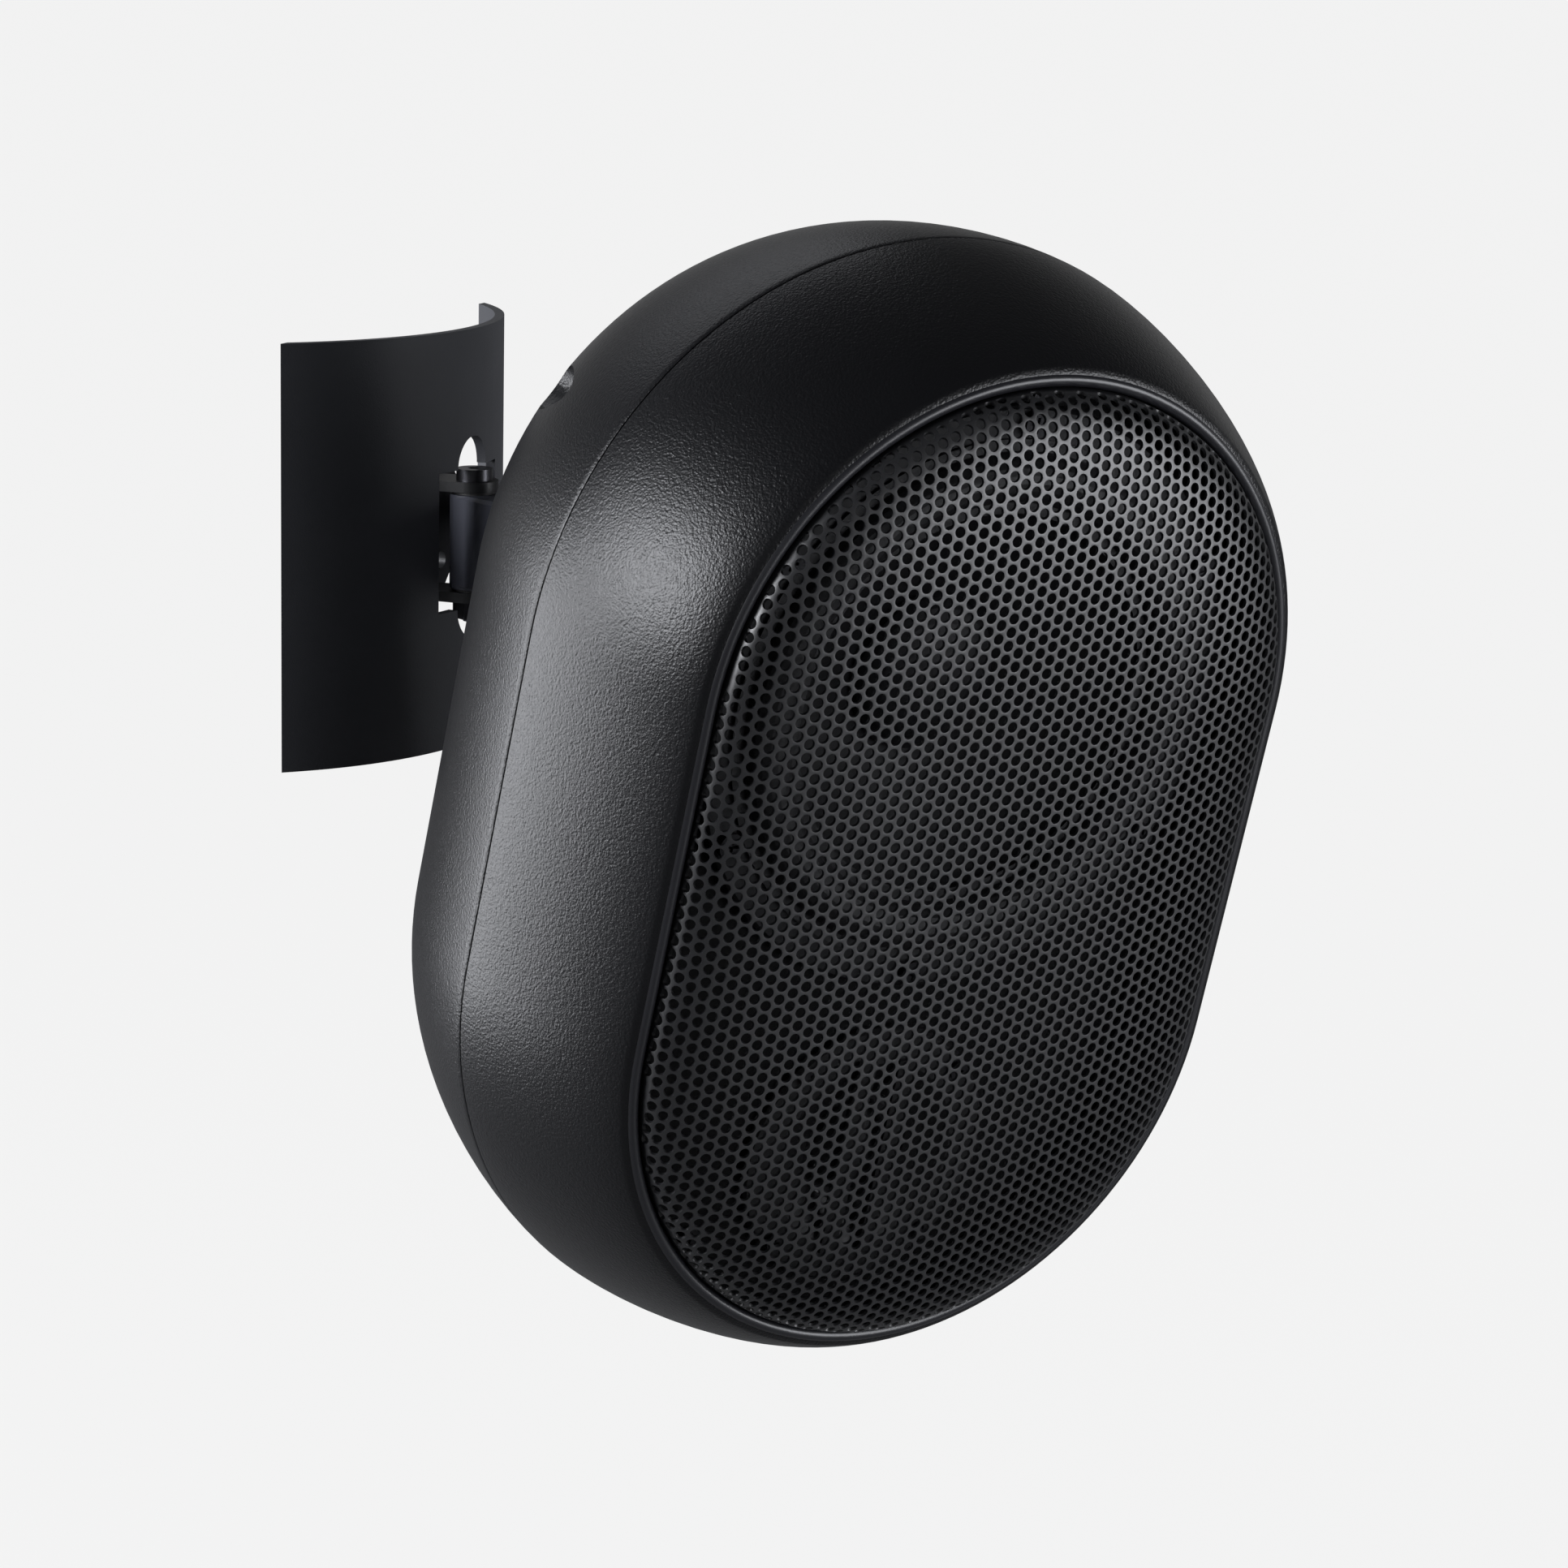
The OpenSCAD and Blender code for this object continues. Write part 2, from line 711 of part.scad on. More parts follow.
module crossover_coils() {
    color("#b06a38")
        for (side = [-1, 1])
            turned([
                [5, board_y - board_t - 10], [11, board_y - board_t - 10], [11, board_y - board_t],
                [5, board_y - board_t]
            ], board_z - board_l / 5, side * board_w / 4);
}

module crossover_capacitors() {
    color("#c9a63a")
        for (i = [-1:1])
            translate([i * 17 - 7, board_y - board_t - 5.5, board_z + board_l / 4])
                rotate([0, 90, 0])
                    cylinder(r = 5.5, h = 14);
}

module board_screws() {
    color("#3a3a3c")
        for (p = board_places)
            translate([p[0], 0, p[1]])
                screw(board_screw_r, board_y - board_t, board_t + 6, 2.6, 1.6);
}

module terminal_plate() {
    color("#222326")
        difference() {
            post(terminal_r - 0.4, terminal_y, terminal_y + terminal_plate_t, 0, terminal_z);
            for (side = [-1, 1])
                post(post_shank_r + fit, terminal_y - 1, back_y, side * post_dx / 2, terminal_z);
            around(4, terminal_screw_at, terminal_z, 45)
                post(terminal_screw_r + fit, terminal_y - 1, back_y);
        }
}

module terminal_posts() {
    for (side = [-1, 1])
        color(side < 0 ? "#7c1f1c" : "#1c1c1e") {
            post(post_r, terminal_y + terminal_plate_t, back_y - 1.5, side * post_dx / 2, terminal_z);
            post(post_shank_r, terminal_y - 8, terminal_y + terminal_plate_t + eps, side * post_dx / 2, terminal_z);
        }
}

module terminal_screws() {
    color("#3a3a3c")
        around(4, terminal_screw_at, terminal_z, 45)
            translate([0, terminal_y + terminal_plate_t, 0])
                mirror([0, 1, 0])
                    screw(terminal_screw_r, 0, terminal_plate_t + 2.4, 2, 1.2);
}

// The ball, its flange and its shank, which goes through the rear shell
module ball_stud() {
    color("#1c1c1e")
        turned(concat(
            [[0, back_y - stud_shank], [stud_shank_r, back_y - stud_shank], [stud_shank_r, back_y],
                [stud_flange_r, back_y], [stud_flange_r, back_y + 2], [stud_flange_r - 2, back_y + 4],
                [stud_r + 1.5, back_y + 4], [stud_r, back_y + 5.5]],
            [for (i = [0:16]) let (a = stud_angle + (180 - stud_angle) * i / 16)
                [i == 16 ? 0 : ball_r * sin(a), ball_y - ball_r * cos(a)]]
        ), ball_z);
}

module stud_nut() {
    color("#8d8f92")
        difference() {
            translate([0, back_y - shell_wall - 6.5, ball_z])
                rotate([-90, 0, 0])
                    cylinder(r = 8, h = 6.5, $fn = 6);
            post(stud_shank_r + fit, 0, back_y, 0, ball_z);
        }
}

// The arm: a barrel on the pan bolt, a flat neck and the cup behind the ball
module swivel_arm() {
    color("#3a3c42")
        along_arm()
            difference() {
                union() {
                    cylinder(r = arm_w / 2, h = arm_h, center = true);
                    translate([0, -neck_end, 0])
                        rotate([-90, 0, 0])
                            linear_extrude(neck_end)
                                polygon(neck_section);
                    turned([[0, -arm_len + ring_grip], [socket_r, -arm_len + ring_grip],
                        [socket_r, -neck_end + 6], [arm_w / 2, -neck_end + 14], [0, -neck_end + 14]]);
                    turned([[0, -arm_len], [socket_r - ring_step, -arm_len],
                        [socket_r - ring_step, -arm_len + ring_grip + 1], [0, -arm_len + ring_grip + 1]]);
                }
                cylinder(r = bolt_d / 2 + fit, h = arm_h + 2, center = true);
                translate([0, -arm_len, 0])
                    sphere(r = ball_r + fit);
                translate([0, -pinch_at, -arm_h / 2 - 1])
                    cylinder(r = pinch_r + fit, h = pinch_depth + 1);
            }
}

// The lock screw on the underside of the arm
module pinch_screw() {
    color("#55575b")
        along_arm()
            translate([0, -pinch_at, -arm_h / 2])
                mirror([0, 0, 1]) {
                    difference() {
                        cylinder(r = pinch_head_r, h = pinch_head_h);
                        for (a = [0, 90])
                            rotate([0, 0, a])
                                translate([-pinch_r, -pinch_r / 5, pinch_head_h / 2])
                                    cube([2 * pinch_r, 2 * pinch_r / 5, pinch_head_h]);
                    }
                    translate([0, 0, -pinch_depth + 0.5])
                        cylinder(r = pinch_r, h = pinch_depth - 0.5 + eps);
                }
}

// The ring that draws the ball into the cup, with finger grooves
module clamp_ring() {
    color("#232427")
        along_arm()
            difference() {
                turned([
                    [socket_r - ring_step + fit, -arm_len + ring_grip], [ring_r, -arm_len + ring_grip],
                    [ring_r, -arm_len - ring_lip + 1], [ring_r - 1, -arm_len - ring_lip],
                    [ring_mouth_r + 1.5, -arm_len - ring_lip], [ring_mouth_r, -arm_len - ring_lip + 0.6],
                    [ball_r + fit, -arm_len], [socket_r - ring_step + fit, -arm_len]
                ]);
                translate([0, -arm_len, 0])
                    sphere(r = ball_r + fit);
                for (i = [0:ring_grooves - 1])
                    rotate([0, i * 360 / ring_grooves, 0])
                        translate([ring_r + 0.7, -arm_len - ring_lip - 1, 0])
                            rotate([-90, 0, 0])
                                cylinder(r = 1.5, h = ring_lip + ring_grip - 2);
            }
}

// The curved cover, with its window and the two notches
module cover_plate() {
    color("#2c2d30")
        translate([0, 0, cover_rise])
            difference() {
                intersection() {
                    translate([0, cover_axis_y, 0])
                        difference() {
                            cylinder(r = cover_r, h = cover_h, center = true);
                            cylinder(r = cover_r - cover_t, h = cover_h + 2, center = true);
                        }
                    translate([-cover_w, -cover_d - 1, -cover_h / 2])
                        cube([2 * cover_w, cover_d + 1, cover_h]);
                }
                translate([-window_w / 2, -cover_d - 1, -window_h / 2])
                    cube([window_w, cover_d, window_h]);
                for (side = [0, 1])
                    mirror([0, 0, side])
                        translate([0, -cover_d - 1, window_h / 2 - eps])
                            rotate([-90, 0, 0])
                                linear_extrude(cover_d)
                                    intersection() {
                                        translate([0, -notch_h + notch_arc])
                                            circle(r = notch_arc);
                                        translate([-notch_w, -notch_h])
                                            square([2 * notch_w, notch_h]);
                                    }
            }
}

// The flat plate on the wall, with two ears for the pan bolt and two side tongues
module base_plate() {
    color("#26272a")
        difference() {
            union() {
                rotate([90, 0, 0])
                    linear_extrude(base_t)
                        polygon(base_outline);
                intersection() {
                    translate([-cover_w / 2, -base_t, -tongue_h / 2])
                        cube([cover_w, base_t, tongue_h]);
                    translate([0, cover_axis_y, 0])
                        cylinder(r = cover_r - cover_t - fit, h = cover_h, center = true);
                }
                for (side = [0, 1])
                    mirror([0, 0, side])
                        translate([0, 0, ear_z])
                            linear_extrude(base_t) {
                                translate([0, -pan_y])
                                    circle(r = ear_r);
                                translate([-ear_r, -pan_y])
                                    square([2 * ear_r, pan_y]);
                            }
            }
            translate([0, -pan_y, -cover_h / 2])
                cylinder(r = bolt_d / 2 + fit, h = cover_h);
            for (sx = [-1, 1], sz = [-1, 1])
                translate([sx * hole_dx / 2, 1, sz * hole_dz / 2])
                    rotate([90, 0, 0])
                        cylinder(r = hole_d / 2, h = base_t + 2);
        }
}

module pan_bolt() {
    color("#6f7175")
        translate([0, -pan_y, 0]) {
            translate([0, 0, ear_z + base_t])
                difference() {
                    cylinder(r = bolt_d / 2 + 2.2, h = 3.4);
                    translate([0, 0, 1.4])
                        cylinder(r = bolt_d / 3, h = 3, $fn = 6);
                }
            translate([0, 0, -ear_z - base_t - nut_h - 1])
                cylinder(r = bolt_d / 2, h = 2 * (ear_z + base_t) + nut_h + 1 + eps);
        }
}

module pan_nut() {
    color("#6f7175")
        translate([0, -pan_y, -ear_z - base_t - nut_h])
            difference() {
                cylinder(r = bolt_d, h = nut_h, $fn = 6);
                translate([0, 0, -1])
                    cylinder(r = bolt_d / 2 + fit, h = nut_h + 2);
            }
}

module pan_washers() {
    color("#b9b9b4")
        for (side = [0, 1])
            mirror([0, 0, side])
                translate([0, -pan_y, arm_h / 2 + washer_gap])
                    difference() {
                        cylinder(r = arm_w / 2 - 1, h = washer_t);
                        translate([0, 0, -1])
                            cylinder(r = bolt_d / 2 + fit, h = washer_t + 2);
                    }
}

cover_plate();
base_plate();
pan_bolt();
pan_nut();
pan_washers();
swivel_arm();
pinch_screw();
clamp_ring();
cabinet() ball_stud();
cabinet() stud_nut();
cabinet() rear_shell();
cabinet() front_shell();
cabinet() shell_seal();
cabinet() shell_screws();
cabinet() grille();
cabinet() baffle();
cabinet() baffle_screws();
cabinet() baffle_gasket();
cabinet() woofer_basket();
cabinet() woofer_surround();
cabinet() woofer_cone();
cabinet() dust_cap();
cabinet() woofer_spider();
cabinet() voice_coil();
cabinet() woofer_top_plate();
cabinet() woofer_magnet();
cabinet() woofer_back_plate();
cabinet() woofer_screws();
cabinet() tweeter_plate();
cabinet() tweeter_dome();
cabinet() tweeter_top_plate();
cabinet() tweeter_magnet();
cabinet() tweeter_back_plate();
cabinet() tweeter_screws();
cabinet() crossover_board();
cabinet() crossover_coils();
cabinet() crossover_capacitors();
cabinet() board_screws();
cabinet() terminal_plate();
cabinet() terminal_posts();
cabinet() terminal_screws();
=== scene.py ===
# %% [markdown]
# # A wall speaker with a perforated grille
#
# The object is a weatherproof two-way speaker. Its cabinet is a capsule, which is a
# rectangle with round ends, made of two moulded shells that meet at a thin dark seam.
# A domed sheet with some three thousand small holes covers the drivers. A ball clamp
# holds the cabinet on a short cast arm, and the arm pans in a curved wall bracket.
#
# The solid model of each piece is loaded first and stays where it is. This lesson
# adds what the solids leave out: the fine perforation, the smooth moulded curves, the
# bead around the grille and the surface of each material.

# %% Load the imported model
import json
import math

import bmesh
import bpy
from mathutils import Matrix, Vector


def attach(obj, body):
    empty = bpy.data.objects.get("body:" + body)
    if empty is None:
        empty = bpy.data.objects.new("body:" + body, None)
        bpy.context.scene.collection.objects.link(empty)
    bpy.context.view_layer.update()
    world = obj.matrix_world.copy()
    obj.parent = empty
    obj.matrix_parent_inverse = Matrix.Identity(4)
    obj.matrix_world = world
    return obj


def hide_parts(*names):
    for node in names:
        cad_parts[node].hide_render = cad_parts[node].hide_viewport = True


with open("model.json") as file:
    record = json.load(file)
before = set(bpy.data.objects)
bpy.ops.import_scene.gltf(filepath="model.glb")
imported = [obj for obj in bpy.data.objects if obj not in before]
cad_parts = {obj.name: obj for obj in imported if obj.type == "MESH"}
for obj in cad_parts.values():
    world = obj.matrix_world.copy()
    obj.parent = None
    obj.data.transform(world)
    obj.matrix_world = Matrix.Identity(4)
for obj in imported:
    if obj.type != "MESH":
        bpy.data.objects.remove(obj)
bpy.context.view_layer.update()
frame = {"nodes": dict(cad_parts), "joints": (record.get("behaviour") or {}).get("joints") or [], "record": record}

# %% [markdown]
# ## The cabinet's own frame
#
# The cabinet hangs turned, tilted and leaning in its ball clamp, so its pieces are
# easiest to describe in a frame of their own: x runs across the cabinet, y runs back
# from the rim of the grille and z runs along the capsule. The tilt joint of the model
# lies in the centre of the ball. One matrix takes a point from the cabinet's frame
# into the shared frame. Lengths in the code are millimetres until that last step.
# HALF is half of the straight run, and the radii are those of the round ends.

# %% Place the cabinet
MM = 0.001
TURN, TILT, LEAN = -36.2, 11.2, 5
BALL = Vector(next(j for j in frame["joints"] if j["name"] == "tilt")["pos_m"])
BALL_Y = 147
BALL_Z = 24.25
CABINET = (
    Matrix.Translation(BALL)
    @ Matrix.Rotation(math.radians(TURN), 4, "Z")
    @ Matrix.Rotation(math.radians(TILT), 4, "X")
    @ Matrix.Rotation(math.radians(LEAN), 4, "Y")
    @ Matrix.Scale(MM, 4)
    @ Matrix.Translation((0, -BALL_Y, -BALL_Z))
)
HALF = 44
RIM_R = 86
LIP_R = 83
SEAM_R = 104.5
SEAM_Y = 54
REAR_H = 69
REAR_R = 71
BACK_Y = SEAM_Y + REAR_H
print("the rim's centre is at", [round(c, 4) for c in CABINET @ Vector((0, 0, 0))])

# %% [markdown]
# ## Camera, lights and floor
#
# A catalogue picture is taken with a long lens from a few steps away, so that the
# object keeps its proportions. The camera stands to the left of the speaker and a
# little above it. The lens and the place come from lines of the object that are
# known to be parallel or round.

# %% Set up the camera
AZIMUTH = math.radians(-68.58)
ELEVATION = math.radians(12.186)
ROLL = math.radians(1.284)
BACK = Vector((math.sin(AZIMUTH) * math.cos(ELEVATION),
               -math.cos(AZIMUTH) * math.cos(ELEVATION), math.sin(ELEVATION)))
LEVEL = Vector((math.cos(AZIMUTH), math.sin(AZIMUTH), 0))
RIGHT = LEVEL * math.cos(ROLL) + BACK.cross(LEVEL) * math.sin(ROLL)
UP = BACK.cross(RIGHT)

scene = bpy.context.scene
lens = bpy.data.cameras.new("camera")
lens.lens = 99.56
lens.sensor_width = 36
camera = bpy.data.objects.new("camera", lens)
camera.location = (-1.11571, -0.5632, 0.19674)
camera.rotation_mode = "QUATERNION"
camera.rotation_quaternion = Matrix((RIGHT, UP, BACK)).transposed().to_quaternion()
scene.collection.objects.link(camera)
scene.camera = camera
scene.view_settings.view_transform = "Standard"
print("camera", [round(c, 3) for c in camera.location], "lens", lens.lens)

# %% [markdown]
# Dark objects are shown by what they reflect. A soft lamp on the left draws the
# highlight on the cabinet's shoulder, and a larger one further back lights its side.
# A wide one on the right shows the grille, and a weak one above and behind draws the
# light edge along the top. Each lamp is placed by how far it stands to the right of,
# above and towards the camera from the middle of the object.

# %% Place the lamps
MIDDLE = Vector((-0.07, -0.17, -0.04))
LAMP_COLOUR = (0.94, 0.955, 1.0)


def lamp(name, right, up, back, width, height, power):
    light = bpy.data.lights.new(name, "AREA")
    light.color = LAMP_COLOUR
    light.shape = "RECTANGLE"
    light.size = width
    light.size_y = height
    light.energy = power
    piece = bpy.data.objects.new(name, light)
    piece.location = MIDDLE + RIGHT * right + UP * up + BACK * back
    piece.rotation_mode = "QUATERNION"
    piece.rotation_quaternion = (MIDDLE - piece.location).to_track_quat("-Z", "Y")
    scene.collection.objects.link(piece)


lamp("lamp_left", -1.45, 0.4, 0.72, 0.6, 0.62, 36)
lamp("lamp_side", -1.65, 0.0, -0.25, 1.0, 0.9, 28)
lamp("lamp_right", 1.7, -0.35, 0.55, 1.1, 1.1, 42)
lamp("lamp_top", -0.6, 1.6, -0.9, 1.4, 0.8, 3)

# %% [markdown]
# The background is a plain pale tone. The camera and rays through clear plastic see
# it directly, while soft light from the world is a dimmer grey, so the tone doesn't
# depend on how bright the lamps are. A real studio is pale only round the object and
# dark overhead, and black plastic looks black because of that, so reflections see the
# tone fade from the horizon upwards.

# %% Make the world
PALE = (0.896, 0.896, 0.896, 1)
COOL = (0.9, 0.93, 1.0, 1)
HORIZON, OVERHEAD = 0.42, 0.06
FLOOR_Z = -0.55


def nodes_of(owner):
    owner.use_nodes = True
    owner.node_tree.nodes.clear()
    return owner.node_tree.nodes, owner.node_tree.links


def seen_directly(nodes, links, glossy):
    """1 for camera and transmission rays, the value glossy for glossy rays, else 0."""
    path = nodes.new("ShaderNodeLightPath")
    direct = nodes.new("ShaderNodeMath")
    direct.operation = "MAXIMUM"
    links.new(path.outputs["Is Camera Ray"], direct.inputs[0])
    links.new(path.outputs["Is Transmission Ray"], direct.inputs[1])
    mirrored = nodes.new("ShaderNodeMath")
    mirrored.operation = "MULTIPLY"
    links.new(path.outputs["Is Glossy Ray"], mirrored.inputs[0])
    if isinstance(glossy, float):
        mirrored.inputs[1].default_value = glossy
    else:
        links.new(glossy, mirrored.inputs[1])
    either = nodes.new("ShaderNodeMath")
    either.operation = "MAXIMUM"
    links.new(direct.outputs[0], either.inputs[0])
    links.new(mirrored.outputs[0], either.inputs[1])
    return either.outputs[0]


world = bpy.data.worlds.new("studio")
scene.world = world
nodes, links = nodes_of(world)
way = nodes.new("ShaderNodeTexCoord")
split = nodes.new("ShaderNodeSeparateXYZ")
links.new(way.outputs["Generated"], split.inputs[0])
fade = nodes.new("ShaderNodeValToRGB")
fade.color_ramp.elements[0].position = 0.0
fade.color_ramp.elements[0].color = (HORIZON, HORIZON, HORIZON, 1)
fade.color_ramp.elements[1].position = 0.5
fade.color_ramp.elements[1].color = (OVERHEAD, OVERHEAD, OVERHEAD, 1)
links.new(split.outputs["Z"], fade.inputs["Fac"])
dark = nodes.new("ShaderNodeBackground")
dark.inputs["Color"].default_value = COOL
dark.inputs["Strength"].default_value = 0.02
seen = nodes.new("ShaderNodeBackground")
seen.inputs["Color"].default_value = PALE
fill = nodes.new("ShaderNodeBackground")
fill.inputs["Color"].default_value = COOL
fill.inputs["Strength"].default_value = 0.25
soft = nodes.new("ShaderNodeMixShader")
links.new(nodes.new("ShaderNodeLightPath").outputs["Is Glossy Ray"], soft.inputs["Fac"])
links.new(fill.outputs[0], soft.inputs[1])
links.new(dark.outputs[0], soft.inputs[2])
mix = nodes.new("ShaderNodeMixShader")
output = nodes.new("ShaderNodeOutputWorld")
links.new(seen_directly(nodes, links, fade.outputs["Color"]), mix.inputs["Fac"])
links.new(soft.outputs[0], mix.inputs[1])
links.new(seen.outputs[0], mix.inputs[2])
links.new(mix.outputs[0], output.inputs["Surface"])

# %% [markdown]
# The floor lies well below the bracket. It glows in the background's tone for the
# camera, and its matt part keeps the object's soft shadow.

# %% Make the floor
FLOOR_SIZE = 40
FLOOR_TONE = (0.98, 0.98, 0.98, 1)
FLOOR_MATT = (0.16, 0.16, 0.16, 1)
FLOOR_GLOSSY = 0.06
FLOOR_GLOW = 0.9
bm = bmesh.new()
bmesh.ops.create_grid(bm, x_segments=1, y_segments=1, size=FLOOR_SIZE)
bmesh.ops.translate(bm, verts=bm.verts, vec=(0, 0, FLOOR_Z))
floor_mesh = bpy.data.meshes.new("floor")
bm.to_mesh(floor_mesh)
bm.free()
floor = bpy.data.objects.new("floor", floor_mesh)
scene.collection.objects.link(floor)
floor_paint = bpy.data.materials.new("floor_paint")
nodes, links = nodes_of(floor_paint)
shown = nodes.new("ShaderNodeEmission")
shown.inputs["Color"].default_value = FLOOR_TONE
matt = nodes.new("ShaderNodeBsdfDiffuse")
matt.inputs["Color"].default_value = FLOOR_MATT
mix = nodes.new("ShaderNodeMixShader")
output = nodes.new("ShaderNodeOutputMaterial")
links.new(seen_directly(nodes, links, FLOOR_GLOSSY), mix.inputs["Fac"])
links.new(matt.outputs[0], mix.inputs[1])
links.new(shown.outputs[0], mix.inputs[2])
shade = nodes.new("ShaderNodeMixShader")
shade.inputs["Fac"].default_value = FLOOR_GLOW
links.new(matt.outputs[0], shade.inputs[1])
links.new(mix.outputs[0], shade.inputs[2])
links.new(shade.outputs[0], output.inputs["Surface"])
floor_mesh.materials.append(floor_paint)
print("floor at", FLOOR_Z)

# %% [markdown]
# ## Materials
#
# Nearly everything here is black, and what tells the pieces apart is how they
# scatter light. A finish is one Principled shader with three patterns on it: broad
# blotches that shift the colour a little, fine noise that changes the gloss, and a
# bump for the grain. All of them read Object coordinates, so a pattern stays on its
# piece when the speaker is tilted.

# %% A finish with colour, gloss and grain
def finish(name, colour, rough, metallic=0.0, vary=0.12, grain=0.0008, bump=0.15,
           depth=0.0001, stretch=(1, 1, 1), cells=False, specular=0.3):
    """A finish. grain is the size of its grain in metres, vary how far its colour drifts."""
    made = bpy.data.materials.new(name)
    nodes, links = nodes_of(made)
    where = nodes.new("ShaderNodeTexCoord")
    place = nodes.new("ShaderNodeMapping")
    place.inputs["Scale"].default_value = stretch
    links.new(where.outputs["Object"], place.inputs["Vector"])
    shader = nodes.new("ShaderNodeBsdfPrincipled")
    shader.inputs["Metallic"].default_value = metallic
    shader.inputs["Specular IOR Level"].default_value = specular
    output = nodes.new("ShaderNodeOutputMaterial")
    links.new(shader.outputs[0], output.inputs["Surface"])

    blotch = nodes.new("ShaderNodeTexNoise")
    blotch.inputs["Scale"].default_value = 22
    blotch.inputs["Detail"].default_value = 6
    links.new(place.outputs[0], blotch.inputs["Vector"])
    tone = nodes.new("ShaderNodeValToRGB")
    tone.color_ramp.elements[0].position = 0.3
    tone.color_ramp.elements[0].color = [c * (1 - vary) for c in colour] + [1]
    tone.color_ramp.elements[1].position = 0.7
    tone.color_ramp.elements[1].color = [c * (1 + vary) for c in colour] + [1]
    links.new(blotch.outputs["Fac"], tone.inputs["Fac"])
    links.new(tone.outputs["Color"], shader.inputs["Base Color"])

    fine = nodes.new("ShaderNodeTexVoronoi" if cells else "ShaderNodeTexNoise")
    fine.inputs["Scale"].default_value = 1 / grain
    links.new(place.outputs[0], fine.inputs["Vector"])
    relief = fine.outputs["Distance" if cells else "Fac"]
    gloss = nodes.new("ShaderNodeMapRange")
    gloss.inputs["To Min"].default_value = rough * 0.88
    gloss.inputs["To Max"].default_value = min(1.0, rough * 1.12)
    links.new(relief, gloss.inputs["Value"])
    links.new(gloss.outputs["Result"], shader.inputs["Roughness"])
    dent = nodes.new("ShaderNodeBump")
    dent.inputs["Strength"].default_value = bump
    dent.inputs["Distance"].default_value = depth
    links.new(relief, dent.inputs["Height"])
    links.new(dent.outputs["Normal"], shader.inputs["Normal"])
    return made


FINISHES = {
    "cover_paint": finish("cover_paint", (0.044, 0.0452, 0.05), 0.5, grain=0.0004, bump=0.35,
                          specular=0.24),
    "base_steel": finish("base_steel", (0.006, 0.0062, 0.007), 0.45, grain=0.0004, bump=0.2),
    "bolt_steel": finish("bolt_steel", (0.05, 0.05, 0.055), 0.35, 1.0, stretch=(1, 1, 8)),
    "washer_nylon": finish("washer_nylon", (0.03, 0.03, 0.03), 0.5),
    "arm_paint": finish("arm_paint", (0.042, 0.044, 0.055), 0.45, grain=0.0006, bump=0.2),
    "ring_plastic": finish("ring_plastic", (0.006, 0.006, 0.0065), 0.45, grain=0.0005,
                           bump=0.3),
    "ball_steel": finish("ball_steel", (0.02, 0.02, 0.022), 0.3, 0.6),
    "seal_rubber": finish("seal_rubber", (0.002, 0.002, 0.002), 0.8, grain=0.0006,
                          specular=0.05),
    "dark_screw": finish("dark_screw", (0.03, 0.03, 0.032), 0.35, 0.8),
    "baffle_plastic": finish("baffle_plastic", (0.003, 0.003, 0.0032), 0.6, grain=0.0007,
                             bump=0.3, specular=0.1),
    "basket_metal": finish("basket_metal", (0.012, 0.012, 0.013), 0.45, 0.3),
    "surround_rubber": finish("surround_rubber", (0.014, 0.014, 0.015), 0.5, grain=0.0012,
                              bump=0.6, cells=True),
    "cone_plastic": finish("cone_plastic", (0.008, 0.0082, 0.009), 0.38, grain=0.002, bump=0.25),
    "cap_plastic": finish("cap_plastic", (0.007, 0.007, 0.008), 0.5, specular=0.15),
    "spider_cloth": finish("spider_cloth", (0.35, 0.26, 0.12), 0.9, grain=0.0005, bump=0.6),
    "coil_copper": finish("coil_copper", (0.45, 0.2, 0.09), 0.4, 0.8, stretch=(1, 12, 1)),
    "pole_steel": finish("pole_steel", (0.5, 0.5, 0.52), 0.35, 1.0),
    "ferrite": finish("ferrite", (0.05, 0.05, 0.052), 0.75, grain=0.001, bump=0.5),
    "tweeter_plastic": finish("tweeter_plastic", (0.005, 0.005, 0.0055), 0.45, grain=0.0007,
                              bump=0.3),
    "dome_cloth": finish("dome_cloth", (0.01, 0.01, 0.011), 0.6, grain=0.0005, bump=0.5),
    "board_green": finish("board_green", (0.02, 0.09, 0.03), 0.4, grain=0.002),
    "coil_wire": finish("coil_wire", (0.45, 0.2, 0.09), 0.35, 0.8, stretch=(1, 10, 1)),
    "capacitor_film": finish("capacitor_film", (0.5, 0.36, 0.05), 0.3),
    "terminal_plastic": finish("terminal_plastic", (0.006, 0.006, 0.0065), 0.5, grain=0.0005,
                               bump=0.3),
    "terminal_caps": finish("terminal_caps", (0.1, 0.012, 0.01), 0.3),
}
SLOTS = {entry["node"]: entry["material_slot"] for entry in frame["record"]["subparts"]}
print(len(FINISHES), "finishes")

# %% Give each solid its finish
def dress(piece, material):
    piece.data.materials.clear()
    piece.data.materials.append(material)


for name, piece in frame["nodes"].items():
    if SLOTS[name] in FINISHES:
        dress(piece, FINISHES[SLOTS[name]])
